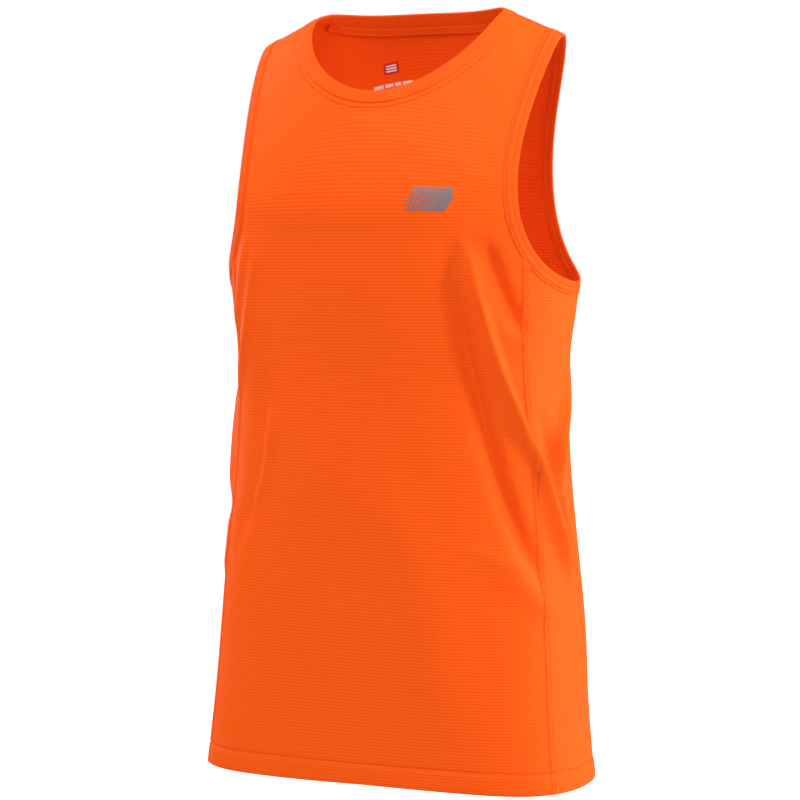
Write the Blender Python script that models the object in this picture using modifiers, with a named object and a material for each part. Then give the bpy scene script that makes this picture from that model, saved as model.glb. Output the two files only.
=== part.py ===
"""A running singlet, hollow, as it hangs on a standing figure that isn't there.

Seven cut pieces: front, back, two side panels, the neck binding and two armhole bindings.
The garment is one form, a hollow body of stacked sections with a yoke that arches over the
shoulders. Each panel is a sheet on that form between its own seam lines, made a wall with
Solidify. The wearer's left is +X and the front faces -Y. The origin is where the shoulders
hold the garment, midway between the two straps, just under the cloth.

A place on the form is an angle round the body, 0 at the wearer's left side, 90 at the front
centre and -90 at the back centre, and a rise, its height above the hem up to the yoke and its
share of the arch above that.
"""

import math

import bmesh
import bpy
import numpy as np

# Cloth, hem and binding sizes, in metres
CLOTH = 0.0012
HEM_THICKNESS = 0.0024
HEM_DEPTH = 0.020
HEM_STEP = 0.002
HEM_LIFT = 0.0055
SEAM_GAP = 0.0004
BAND_GAP = 0.0009
EDGE_STRIP = 0.0025
EDGE_SHARE = 0.014
BAND_THICKNESS = 0.0022
BAND_PROUD = 0.0005
NECK_BAND = 0.0125
ARM_BAND = 0.0120

# The body, from the hem up. A square of 0 is a half ellipse, and more fills its corners.
SECTIONS = (
    # height, half width, front depth, back depth, front square
    (0.000, 0.1730, 0.1040, 0.1060, 0.071),
    (0.061, 0.1674, 0.1014, 0.1042, 0.066),
    (0.134, 0.1624, 0.0970, 0.1011, 0.061),
    (0.207, 0.1557, 0.0945, 0.0972, 0.056),
    (0.281, 0.1493, 0.0937, 0.0958, 0.049),
    (0.354, 0.1473, 0.0953, 0.0970, 0.042),
    (0.421, 0.1551, 0.1000, 0.0977, 0.036),
    (0.4825, 0.1634, 0.1038, 0.0980, 0.0305),
)
YOKE_HEIGHT = 0.4825
YOKE_RISE = 0.190
FRONT_ARCH = -0.048
BACK_ARCH = -0.015

# The shoulder ridge falls away to each side, a little behind the body's middle plane.
RIDGE_TOP = 0.7192
RIDGE_SLOPE = 0.5276
RIDGE_ROUND = 0.0671
RIDGE_BACK = 0.0246
SEAM_FORWARD = 0.014

# Neck edge, an oval in plan
NECK_HALF_WIDTH = 0.0854
NECK_CENTRE = 0.0115
NECK_FRONT = 0.0833
NECK_BACK = 0.0412

# Armhole edge, from the strap's outer end down to the underarm
STRAP_END = 0.1377
UNDERARM = 0.4288
FRONT_SCOOP = 0.0117
BACK_SCOOP = 0.0248
UNDERARM_CURVE = 10.6
SCOOP_LEAN = 1.2

# Side seams, as angles round the body
SIDE_SEAMS = (
    # height, front angle, back angle
    (0.000, 32.1, -21.6),
    (0.244, 30.0, -31.8),
    (0.4825, 38.4, -13.3),
)

# The largest folds: soft ridges and troughs in the cloth, each along a line that may bow.
FOLDS = (
    # angle 1, height 1, angle 2, height 2, bow, half width, lift
    (60.0, 0.462, 27.0, 0.262, 3.0, 0.014, 0.0050),
    (67.0, 0.470, 32.0, 0.180, 4.0, 0.017, -0.0060),
    (33.0, 0.306, 4.0, 0.175, 0.0, 0.013, 0.0040),
    (84.0, 0.255, 73.0, 0.070, 2.0, 0.030, 0.0030),
    (124.0, 0.460, 144.0, 0.350, 0.0, 0.013, 0.0035),
    (126.0, 0.320, 136.0, 0.208, 0.0, 0.016, -0.0040),
    (-122.0, 0.440, -148.0, 0.270, -4.0, 0.017, -0.0050),
    (-112.0, 0.330, -136.0, 0.170, 0.0, 0.018, 0.0045),
    (-62.0, 0.430, -38.0, 0.230, 3.0, 0.018, 0.0050),
    (-76.0, 0.300, -60.0, 0.120, 0.0, 0.022, -0.0045),
)
METRES_PER_RADIAN = 0.130
FOLD_FULL = 0.35
FOLD_FADE = 0.15

# Grid of each panel, in rows and columns of facets
SIDE_ROWS = 20
ARM_ROWS = 14
FRONT_NECK_ROWS = 11
BACK_NECK_ROWS = 8
COLUMNS = 10
SIDE_HALF_COLUMNS = 4
BAND_COLUMNS = 2
DENSE = 400
NEWTON_STEPS = 12
LEAST_SLOPE = 0.001
LEAST_SPREAD = 0.02
STEP = 0.0004
WELD = 0.00001

CLOTH_COLOUR = (0.90, 0.125, 0.018, 1.0)
BAND_COLOUR = (0.88, 0.115, 0.016, 1.0)
CLOTH_ROUGHNESS = 0.62

RIDGE = YOKE_HEIGHT + YOKE_RISE
QUARTER = math.pi / 2


def rows_at(key, table):
    """Each column of the table at the key, on a smooth curve through its rows."""
    rows = np.array(table)
    keys = rows[:, 0]
    key = np.clip(key, keys[0], keys[-1])
    low = np.clip(np.searchsorted(keys, key, side="right") - 1, 0, len(keys) - 2)
    gap = keys[low + 1] - keys[low]
    part = (key - keys[low]) / gap
    columns = []
    for value in rows[:, 1:].T:
        slope = np.gradient(value, keys)
        start = (2 * part**3 - 3 * part**2 + 1) * value[low]
        end = (3 * part**2 - 2 * part**3) * value[low + 1]
        leave = (part**3 - 2 * part**2 + part) * gap * slope[low]
        arrive = (part**3 - part**2) * gap * slope[low + 1]
        columns.append(start + end + leave + arrive)
    return columns


def rounded(angle, square):
    """The cosine and sine of an oval whose corners are filled by square."""
    cosine = (np.cos(angle) - square * np.cos(3 * angle)) / (1 - square)
    sine = (np.sin(angle) + square * np.sin(3 * angle)) / (1 - square)
    return cosine, sine


def angle_of(cosine, square):
    """The angle from 0 to a right angle that has this rounded cosine, by Newton's steps."""
    angle = np.arccos(np.clip(cosine, 0, 1))
    for _ in range(NEWTON_STEPS):
        error = rounded(angle, square)[0] - cosine
        slope = (3 * square * np.sin(3 * angle) - np.sin(angle)) / (1 - square)
        angle = np.clip(angle - error / np.minimum(slope, -LEAST_SLOPE), 0, QUARTER)
    return angle


def ridge_height(x):
    return RIDGE_TOP - RIDGE_SLOPE * np.sqrt(x**2 + RIDGE_ROUND**2)


def plain_surface(angle, rise):
    """Points of the form without its folds: stacked half ovals, then arches to the ridge.

    The front's square fades up the arch, so that front and back meet along the ridge.
    """
    half_width, front_depth, back_depth, square = rows_at(rise, SECTIONS)
    front = np.sin(angle) > 0
    arch = np.clip((rise - YOKE_HEIGHT) / YOKE_RISE, 0, 1)
    cosine, sine = rounded(angle, np.where(front, square * (1 - arch**2), 0))
    x = half_width * cosine
    y = -sine * np.where(front, front_depth, back_depth)
    out, up = rounded(arch * QUARTER, np.where(front, FRONT_ARCH, BACK_ARCH))
    z = YOKE_HEIGHT + (ridge_height(x) - YOKE_HEIGHT) * up
    y = RIDGE_BACK + (y - RIDGE_BACK) * out
    return np.stack([x, y, np.where(rise < YOKE_HEIGHT, rise, z)], axis=-1)


def outward(angle, rise):
    """Unit normals of the plain form, from its two directions at each point."""
    turn = STEP / METRES_PER_RADIAN
    low = np.minimum(rise, RIDGE - STEP)
    along = plain_surface(angle + turn, low) - plain_surface(angle - turn, low)
    up = plain_surface(angle, low + STEP) - plain_surface(angle, low - STEP)
    normal = np.cross(up, along)
    return normal / np.linalg.norm(normal, axis=-1, keepdims=True)


def fold_lift(angle, rise):
    """The height of the cloth over the plain form, a sum of bell curves across each fold."""
    lift = np.zeros(np.broadcast(angle, rise).shape)
    for angle_1, height_1, angle_2, height_2, bow, half_width, height in FOLDS:
        share = np.clip((height_1 - rise) / (height_1 - height_2), -0.5, 1.5)
        line = angle_1 + (angle_2 - angle_1) * share + 4 * bow * share * (1 - share)
        turned = np.degrees(angle) - line
        across = np.radians((turned + 180) % 360 - 180) * METRES_PER_RADIAN
        past = np.maximum(np.abs(share - 0.5) - FOLD_FULL, 0) / FOLD_FADE
        lift += height * np.exp(-((across / half_width) ** 2) - past**2)
    return lift


def under_ridge(angle, rise):
    """A place past the ridge, as the same place on the other side."""
    over = rise > RIDGE
    return np.where(over, -angle, angle), np.where(over, 2 * RIDGE - rise, rise)


def surface(angle, rise):
    """Points of the outside of the cloth, with its folds."""
    angle, rise = under_ridge(angle, rise)
    lift = fold_lift(angle, rise)[..., None]
    return plain_surface(angle, rise) + outward(angle, rise) * lift


def mirrored(angle):
    """The same place on the wearer's other side."""
    return np.where(angle >= 0, math.pi - angle, -math.pi - angle)


def offset_line(angle, rise, width):
    """A line on the form moved sideways, across itself, to the left of its direction."""
    turn = STEP / METRES_PER_RADIAN
    low = np.minimum(rise, RIDGE - STEP)
    path = plain_surface(angle, np.minimum(rise, RIDGE))
    tangent = np.gradient(path, axis=0)
    tangent /= np.linalg.norm(tangent, axis=-1, keepdims=True)
    side = np.cross(outward(angle, rise), tangent) * width
    along = (plain_surface(angle + turn, low) - plain_surface(angle - turn, low)) / (2 * turn)
    up = (plain_surface(angle, low + STEP) - plain_surface(angle, low - STEP)) / (2 * STEP)
    basis = np.stack([along, up], axis=-1)
    steps = np.linalg.pinv(basis, rcond=LEAST_SPREAD) @ side[..., None]
    return angle + steps[:, 0, 0], rise + steps[:, 1, 0]


def unrolled(front, angle, rise):
    """Front and back as one strip: the back from the hem to the ridge, then down the front."""
    over = rise > RIDGE
    low = np.where(over, 2 * RIDGE - rise, rise)
    return np.abs(angle), np.where(front ^ over, 2 * RIDGE - low, low)


def rolled(angle, along):
    """A place on the strip as an angle and a rise on the form."""
    front = along > RIDGE
    return np.where(front, angle, -angle), np.where(front, 2 * RIDGE - along, along)


def neck_edge():
    """The neck edge on the wearer's left, from the back centre over to the front centre."""
    turn = np.linspace(-QUARTER, QUARTER, DENSE)
    x = NECK_HALF_WIDTH * np.cos(turn)
    y = NECK_CENTRE - np.sin(turn) * np.where(turn > 0, NECK_FRONT, NECK_BACK)
    front = y < RIDGE_BACK
    half_width, front_depth, back_depth, square = rows_at(np.full(DENSE, RIDGE), SECTIONS)
    arch = np.ones(DENSE)
    for _ in range(NEWTON_STEPS):
        faded = np.where(front, square * (1 - arch**2), 0)
        angle = angle_of(x / half_width, faded)
        depth = rounded(angle, faded)[1] * np.where(front, -front_depth, back_depth)
        share = (y - RIDGE_BACK) / (depth - RIDGE_BACK)
        arch = angle_of(share, np.where(front, FRONT_ARCH, BACK_ARCH)) / QUARTER
    return np.where(front, angle, -angle), YOKE_HEIGHT + YOKE_RISE * arch


def arm_edge():
    """The armhole edge, from the underarm up the back, over the ridge and down the front."""
    drop = np.sin(np.linspace(0, QUARTER, DENSE))
    top = ridge_height(STRAP_END)
    z = top - (top - UNDERARM) * drop
    half_width, _, _, square = rows_at(z, SECTIONS)
    sides = []
    for sign, scoop, arch_square in ((-1, BACK_SCOOP, BACK_ARCH), (1, FRONT_SCOOP, FRONT_ARCH)):
        x = STRAP_END - scoop * np.sin(math.pi * drop**SCOOP_LEAN)
        x += (half_width - STRAP_END) * drop**UNDERARM_CURVE
        share = np.clip((z - YOKE_HEIGHT) / (ridge_height(x) - YOKE_HEIGHT), 0, 1)
        arch = 1 - angle_of(share, arch_square) / QUARTER
        angle = angle_of(x / half_width, square * (1 - arch**2) if sign > 0 else 0)
        rise = np.where(z < YOKE_HEIGHT, z, YOKE_HEIGHT + YOKE_RISE * arch)
        sides.append((sign * angle, rise))
    (back_angle, back_rise), (front_angle, front_rise) = sides
    angle = np.concatenate([back_angle[::-1], front_angle[1:]])
    return angle, np.concatenate([back_rise[::-1], front_rise[1:]])


def crossing(values):
    """Where along an array its values first change sign, as a fraction of an index."""
    first = int(np.nonzero(np.diff(np.sign(values)))[0][0])
    return first + values[first] / (values[first] - values[first + 1])


def stations(line, marks, counts, shifts):
    """Indices along a line, evenly spaced between marks that are shifted by these lengths."""
    path = plain_surface(line[0], np.minimum(line[1], RIDGE))
    length = np.concatenate([[0], np.cumsum(np.linalg.norm(np.diff(path, axis=0), axis=-1))])
    index = np.arange(len(length))
    at_marks = np.interp(marks, index, length) + shifts
    runs = [np.zeros(1)]
    for start, end, count in zip(at_marks[:-1], at_marks[1:], counts):
        runs.append(np.interp(np.linspace(start, end, count + 1)[1:], length, index))
    return np.concatenate(runs)


def at_stations(line, where):
    index = np.arange(len(line[0]))
    return np.interp(where, index, line[0]), np.interp(where, index, line[1])


def side_angle(rise, front):
    front_angle, back_angle = rows_at(rise, SIDE_SEAMS)
    return np.radians(front_angle if front else back_angle)


def moved_line(edge, width):
    """An edge moved over the cloth by a width, as an unrolled line."""
    front = np.arange(len(edge[0])) > np.argmax(edge[1])
    return unrolled(front, *offset_line(*edge, width))


def hem_height(angle):
    return HEM_LIFT * np.maximum(np.sin(angle), 0)


NECK_LINE = neck_edge()
ARM_LINE = arm_edge()
NECK_CUT = moved_line(NECK_LINE, NECK_BAND + BAND_GAP)
ARM_CUT = moved_line(ARM_LINE, -ARM_BAND - BAND_GAP)
SHOULDER = RIDGE + SEAM_FORWARD

NECK_SHOULDER = crossing(NECK_CUT[1] - SHOULDER)
NECK_STATIONS = stations(
    NECK_LINE,
    [0, NECK_SHOULDER, NECK_SHOULDER, NECK_SHOULDER, DENSE - 1],
    [BACK_NECK_ROWS - 1, 1, 1, FRONT_NECK_ROWS - 1],
    [0, -EDGE_STRIP, 0, EDGE_STRIP, 0],
)
ARM_SHOULDER = crossing(ARM_CUT[1] - SHOULDER)
ARM_BACK = crossing(ARM_CUT[0][:DENSE] + side_angle(ARM_CUT[1][:DENSE], False))
ARM_FRONT = DENSE + crossing(ARM_CUT[0][DENSE:] - side_angle(2 * RIDGE - ARM_CUT[1][DENSE:], True))
ARM_STATIONS = stations(
    ARM_LINE,
    [0] + [ARM_BACK] * 2 + [ARM_SHOULDER] * 3 + [ARM_FRONT] * 2 + [2 * DENSE - 2],
    [SIDE_HALF_COLUMNS - 1, 1, ARM_ROWS - 1, 1, 1, ARM_ROWS - 1, 1, SIDE_HALF_COLUMNS - 1],
    [0, -EDGE_STRIP, 0, -EDGE_STRIP, 0, EDGE_STRIP, 0, EDGE_STRIP, 0],
)


def material(name, colour):
    made = bpy.data.materials.new(name)
    made.use_nodes = True
    shader = made.node_tree.nodes["Principled BSDF"]
    shader.inputs["Base Color"].default_value = colour
    shader.inputs["Roughness"].default_value = CLOTH_ROUGHNESS
    shader.inputs["Metallic"].default_value = 0.0
    return made


def to_origin(points):
    """Moves points so that the middle of the shoulder line, under the cloth, is the origin."""
    middle = (NECK_HALF_WIDTH + STRAP_END) / 2
    return points - np.array([0, RIDGE_BACK, ridge_height(middle) - CLOTH])


def wall(name, angle, rise, colour, thickness, proud=0.0, closed=False):
    """An object from grids of places on the form: a sheet, then its wall, turned inwards.

    Each grid is a row of sheets to weld, such as two halves that meet at the middle.
    """
    points, faces = [], []
    for part_angle, part_rise in zip(angle, rise):
        sheet = surface(part_angle, part_rise)
        sheet += outward(*under_ridge(part_angle, part_rise)) * proud
        rows, columns = part_angle.shape
        first = len(points)
        points.extend(to_origin(sheet).reshape(-1, 3).tolist())
        place = np.arange(rows * columns).reshape(rows, columns) + first
        after = np.roll(place, -1, axis=0) if closed else place[1:]
        before = place if closed else place[:-1]
        quads = np.stack([before[:, :-1], before[:, 1:], after[:, 1:], after[:, :-1]], axis=-1)
        middle = sheet[1, 0] - sheet[0, 0]
        side = sheet[0, 1] - sheet[0, 0]
        facing = np.cross(side, middle) @ outward(*under_ridge(part_angle, part_rise))[0, 0]
        quads = quads.reshape(-1, 4)
        faces.extend((quads if facing > 0 else quads[:, ::-1]).tolist())
    mesh = bpy.data.meshes.new(name)
    mesh.from_pydata(points, [], faces)
    sheet_mesh = bmesh.new()
    sheet_mesh.from_mesh(mesh)
    bmesh.ops.remove_doubles(sheet_mesh, verts=sheet_mesh.verts, dist=WELD)
    sheet_mesh.to_mesh(mesh)
    sheet_mesh.free()
    mesh.shade_smooth()
    mesh.materials.append(material(name, colour))
    made = bpy.data.objects.new(name, mesh)
    COLLECTION.objects.link(made)
    solidify = made.modifiers.new("wall", "SOLIDIFY")
    solidify.offset = -1
    solidify.thickness = thickness
    return made


def double_hem(made):
    """The turned-up hem: the wall is thicker below the hem's height."""
    top = to_origin(np.zeros(3))[2] + HEM_DEPTH + HEM_LIFT + HEM_STEP / 2
    low = [vertex.index for vertex in made.data.vertices if vertex.co.z < top]
    hem = made.vertex_groups.new(name="hem")
    hem.add(low, 1.0, "REPLACE")
    solidify = made.modifiers["wall"]
    solidify.thickness = HEM_THICKNESS
    solidify.vertex_group = hem.name
    solidify.thickness_vertex_group = CLOTH / HEM_THICKNESS


def row_heights(bottom, top, rows):
    """Heights of a panel's rows: the hem's own rows, then even ones, and a strip at the edge."""
    hem = bottom + np.array([0, HEM_DEPTH, HEM_DEPTH + HEM_STEP])
    return np.concatenate([hem[:-1], np.linspace(hem[-1], top - EDGE_STRIP, rows - 2), [top]])


def body_panel(name, front):
    """The front or back: half grids from the middle and neck out to the side and armhole."""
    if front:
        neck = at_stations(NECK_CUT, NECK_STATIONS[BACK_NECK_ROWS:][::-1])
        arm = at_stations(ARM_CUT, ARM_STATIONS[SIDE_HALF_COLUMNS + ARM_ROWS :])
        arm = [values[: ARM_ROWS + 1][::-1] for values in arm]
        neck_rise, arm_rise = 2 * RIDGE - neck[1], 2 * RIDGE - arm[1]
    else:
        neck = at_stations(NECK_CUT, NECK_STATIONS[: BACK_NECK_ROWS + 1])
        arm = at_stations(ARM_CUT, ARM_STATIONS[SIDE_HALF_COLUMNS:])
        arm = [values[: ARM_ROWS + 1] for values in arm]
        neck_rise, arm_rise = neck[1], arm[1]
    sign = 1 if front else -1
    middle_rows = SIDE_ROWS + ARM_ROWS + 1 - len(neck_rise)
    middle = row_heights(hem_height(sign * QUARTER), neck_rise[0], middle_rows)
    inner_angle = np.concatenate([np.full(middle_rows + 1, QUARTER), neck[0][1:]])
    inner_rise = np.concatenate([middle[:-1], neck_rise])
    bottom = hem_height(side_angle(0.0, front))
    side = row_heights(bottom, arm_rise[0], SIDE_ROWS)
    seam_angle = np.abs(side_angle(side, front)) + SEAM_GAP / METRES_PER_RADIAN / 2
    outer_angle = np.concatenate([seam_angle, arm[0][1:]])
    outer_rise = np.concatenate([side, arm_rise[1:]])
    share = np.append(np.linspace(0, 1 - EDGE_SHARE, COLUMNS), 1)
    angle = inner_angle[:, None] + (outer_angle - inner_angle)[:, None] * share
    rise = inner_rise[:, None] + (outer_rise - inner_rise)[:, None] * share
    rise[-1] -= SEAM_GAP / 2
    angle = sign * angle
    made = wall(name, [angle, mirrored(angle)], [rise, rise], CLOTH_COLOUR, CLOTH)
    double_hem(made)


def side_panel(name, left):
    """A side panel, from its back seam round to its front seam, up to the underarm binding."""
    back = at_stations(ARM_CUT, ARM_STATIONS[: SIDE_HALF_COLUMNS + 1][::-1])
    front = at_stations(ARM_CUT, ARM_STATIONS[-SIDE_HALF_COLUMNS - 1 :][::-1])
    angles = np.concatenate([-back[0], front[0][1:]])
    tops = np.concatenate([back[1], 2 * RIDGE - front[1][1:]])
    share = (angles - angles[0]) / (angles[-1] - angles[0])
    bottom_angle = side_angle(0.0, False) + share * (side_angle(0.0, True) - side_angle(0.0, False))
    rise = np.stack(
        [row_heights(low, top, SIDE_ROWS) for low, top in zip(hem_height(bottom_angle), tops)],
        axis=1,
    )
    gap = SEAM_GAP / METRES_PER_RADIAN / 2
    start, end = side_angle(rise, False) + gap, side_angle(rise, True) - gap
    angle = start + (end - start) * share
    made = wall(name, [angle if left else mirrored(angle)], [rise], CLOTH_COLOUR, CLOTH)
    double_hem(made)


def binding(name, edge, width, where, left=True, both_sides=False):
    """A folded band along an edge, from the edge itself out to its seam."""
    lines = []
    for share in np.linspace(0, 1, BAND_COLUMNS + 1):
        lines.append(rolled(*at_stations(moved_line(edge, width * share), where)))
    angle = np.stack([line[0] for line in lines], axis=1)
    rise = np.stack([line[1] for line in lines], axis=1)
    if both_sides:
        angle = np.concatenate([angle, mirrored(angle[1:-1][::-1])])
        rise = np.concatenate([rise, rise[1:-1][::-1]])
    elif not left:
        angle = mirrored(angle)
    wall(name, [angle], [rise], BAND_COLOUR, BAND_THICKNESS, BAND_PROUD, closed=True)


for old in list(bpy.data.objects):
    bpy.data.objects.remove(old)
COLLECTION = bpy.data.collections.new("running_singlet")
bpy.context.scene.collection.children.link(COLLECTION)

body_panel("front_panel", True)
body_panel("back_panel", False)
side_panel("side_panel_left", True)
side_panel("side_panel_right", False)
binding("neck_binding", NECK_LINE, NECK_BAND, NECK_STATIONS, both_sides=True)
binding("armhole_binding_left", ARM_LINE, -ARM_BAND, ARM_STATIONS[:-1])
binding("armhole_binding_right", ARM_LINE, -ARM_BAND, ARM_STATIONS[:-1], left=False)
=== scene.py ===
"""The looks of a running singlet, hollow, as it hangs on a standing figure that isn't there.

The wearer's left is +X and the front faces -Y. The sections follow the making of the garment:
the cut panels, the bindings, the seams' and hem's stitches, then the two prints.
"""

import math

import bmesh
import bpy
import numpy as np
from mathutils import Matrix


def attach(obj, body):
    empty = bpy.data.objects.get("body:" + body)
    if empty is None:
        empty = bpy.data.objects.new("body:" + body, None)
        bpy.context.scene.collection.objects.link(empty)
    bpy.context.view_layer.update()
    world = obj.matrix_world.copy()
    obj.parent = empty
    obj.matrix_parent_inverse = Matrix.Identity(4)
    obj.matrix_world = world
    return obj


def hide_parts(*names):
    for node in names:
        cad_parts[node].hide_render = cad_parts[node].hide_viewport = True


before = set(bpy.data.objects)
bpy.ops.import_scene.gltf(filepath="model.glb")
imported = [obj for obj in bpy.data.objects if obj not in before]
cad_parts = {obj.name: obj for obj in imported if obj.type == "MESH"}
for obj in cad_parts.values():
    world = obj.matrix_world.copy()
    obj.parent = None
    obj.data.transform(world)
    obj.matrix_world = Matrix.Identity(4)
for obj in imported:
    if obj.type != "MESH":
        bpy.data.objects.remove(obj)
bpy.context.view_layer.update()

# ---- Camera, floor and light -----------------------------------------------------------------
# A long lens stands a little to the wearer's left of the front. The floor is as far below the
# singlet as a standing wearer's feet, and as bright to the lens as the white wall behind. Large
# soft lamps stand above and on both sides.
CAMERA_AZIMUTH = math.radians(20.82)
CAMERA_HEIGHT = math.radians(4.0)
CAMERA_DISTANCE = 1.863
CAMERA_TARGET = (-0.0041, -0.0246, -0.3256)
CAMERA_LENS = 95.5
FLOOR_HEIGHT = -1.38
FLOOR_SIZE = 60.0
FLOOR_COLOUR = (0.93, 0.93, 0.93, 1.0)
SKY_STRENGTH = 0.37
BACKDROP_STRENGTH = 1.0
# Each lamp: name, place, width, height and power in watts
LAMPS = (
    ("lamp_above", (0.1, -0.7, 1.5), 1.8, 1.2, 26.0),
    ("lamp_high_front", (0.2, -1.8, 1.2), 1.2, 0.8, 14.0),
    ("lamp_right", (1.9, -0.1, 0.0), 0.35, 1.4, 25.0),
    ("lamp_right_back", (1.6, 0.9, 0.2), 0.8, 1.6, 24.0),
    ("lamp_left", (-1.7, -0.9, 0.1), 0.8, 1.8, 8.0),
    ("lamp_left_back", (-1.6, 0.7, 0.3), 0.6, 1.6, 14.0),
)


def look_at(place, target):
    """The turn that points an object's -Z from a place at a target, with +Z upwards."""
    away = np.array(place) - np.array(target)
    azimuth = math.atan2(away[0], -away[1])
    rise = math.atan2(away[2], math.hypot(away[0], away[1]))
    return math.pi / 2 - rise, 0.0, azimuth


scene = bpy.context.scene
scene.view_settings.view_transform = "Standard"
camera = bpy.data.objects.new("camera", bpy.data.cameras.new("camera"))
scene.collection.objects.link(camera)
flat_distance = CAMERA_DISTANCE * math.cos(CAMERA_HEIGHT)
camera.location = (
    CAMERA_TARGET[0] + flat_distance * math.sin(CAMERA_AZIMUTH),
    CAMERA_TARGET[1] - flat_distance * math.cos(CAMERA_AZIMUTH),
    CAMERA_TARGET[2] + CAMERA_DISTANCE * math.sin(CAMERA_HEIGHT),
)
camera.rotation_euler = look_at(camera.location, CAMERA_TARGET)
camera.data.lens = CAMERA_LENS
camera.data.sensor_width = 36.0
scene.camera = camera

world = bpy.data.worlds.new("studio")
world.use_nodes = True
sky = world.node_tree.nodes["Background"]
sky.inputs["Color"].default_value = (1.0, 1.0, 1.0, 1.0)
seen = world.node_tree.nodes.new("ShaderNodeLightPath")
strength = world.node_tree.nodes.new("ShaderNodeMapRange")
strength.inputs["To Min"].default_value = SKY_STRENGTH
strength.inputs["To Max"].default_value = BACKDROP_STRENGTH
world.node_tree.links.new(seen.outputs["Is Camera Ray"], strength.inputs["Value"])
world.node_tree.links.new(strength.outputs["Result"], sky.inputs["Strength"])
scene.world = world
for lamp_name, place, width, height, power in LAMPS:
    light = bpy.data.lights.new(lamp_name, "AREA")
    light.shape = "RECTANGLE"
    light.size = width
    light.size_y = height
    light.energy = power
    lamp = bpy.data.objects.new(lamp_name, light)
    lamp.location = place
    lamp.rotation_euler = look_at(place, CAMERA_TARGET)
    scene.collection.objects.link(lamp)

floor_mesh = bpy.data.meshes.new("floor")
half = FLOOR_SIZE / 2
floor_mesh.from_pydata(
    [(-half, -half, FLOOR_HEIGHT), (half, -half, FLOOR_HEIGHT), (half, half, FLOOR_HEIGHT),
     (-half, half, FLOOR_HEIGHT)],
    [],
    [(0, 1, 2, 3)],
)
floor_finish = bpy.data.materials.new("floor")
floor_finish.use_nodes = True
floor_nodes = floor_finish.node_tree.nodes
floor_nodes["Principled BSDF"].inputs["Base Color"].default_value = FLOOR_COLOUR
floor_nodes["Principled BSDF"].inputs["Roughness"].default_value = 0.9
floor_nodes["Principled BSDF"].inputs["Emission Color"].default_value = (1.0, 1.0, 1.0, 1.0)
floor_seen = floor_nodes.new("ShaderNodeLightPath").outputs["Is Camera Ray"]
floor_glow = floor_nodes["Principled BSDF"].inputs["Emission Strength"]
floor_finish.node_tree.links.new(floor_seen, floor_glow)
floor_mesh.materials.append(floor_finish)
floor = bpy.data.objects.new("floor", floor_mesh)
scene.collection.objects.link(floor)

# ---- Front panel -----------------------------------------------------------------------------
# The largest cut piece, in a fine orange polyester knit with level courses. It is cut to the
# neck and armhole bindings, joined at the shoulders and sides, and turned up at the hem. Every
# piece lies on one form: stacked oval sections, with a yoke that arches over the shoulders.
CLOTH = 0.0012
HEM_DEPTH = 0.020
HEM_LIFT = 0.0055
HEM_FOLD = 0.0013
NECK_BAND = 0.0125
ARM_BAND = 0.0120
TUCK = 0.0008

# Section rows: height, half width, front depth, back depth, and how square the front is
SECTIONS = (
    (0.000, 0.1730, 0.1040, 0.1060, 0.071),
    (0.061, 0.1674, 0.1014, 0.1042, 0.066),
    (0.134, 0.1624, 0.0970, 0.1011, 0.061),
    (0.207, 0.1557, 0.0945, 0.0972, 0.056),
    (0.281, 0.1493, 0.0937, 0.0958, 0.049),
    (0.354, 0.1473, 0.0953, 0.0970, 0.042),
    (0.421, 0.1551, 0.1000, 0.0977, 0.036),
    (0.4825, 0.1634, 0.1038, 0.0980, 0.0305),
)
YOKE_HEIGHT = 0.4825
YOKE_RISE = 0.190
FRONT_ARCH = -0.048
BACK_ARCH = -0.015
RIDGE_TOP = 0.7192
RIDGE_SLOPE = 0.5276
RIDGE_ROUND = 0.0671
RIDGE_BACK = 0.0246
SEAM_FORWARD = 0.014
NECK_HALF_WIDTH = 0.0854
NECK_CENTRE = 0.0115
NECK_FRONT = 0.0833
NECK_BACK = 0.0412
STRAP_END = 0.1377
UNDERARM = 0.4288
FRONT_SCOOP = 0.0117
BACK_SCOOP = 0.0248
UNDERARM_CURVE = 10.6
SCOOP_LEAN = 1.2

# Side seam rows: height, and the front and back seams' angles round the body
SIDE_SEAMS = ((0.000, 32.1, -21.6), (0.244, 30.0, -31.8), (0.4825, 38.4, -13.3))

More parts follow.
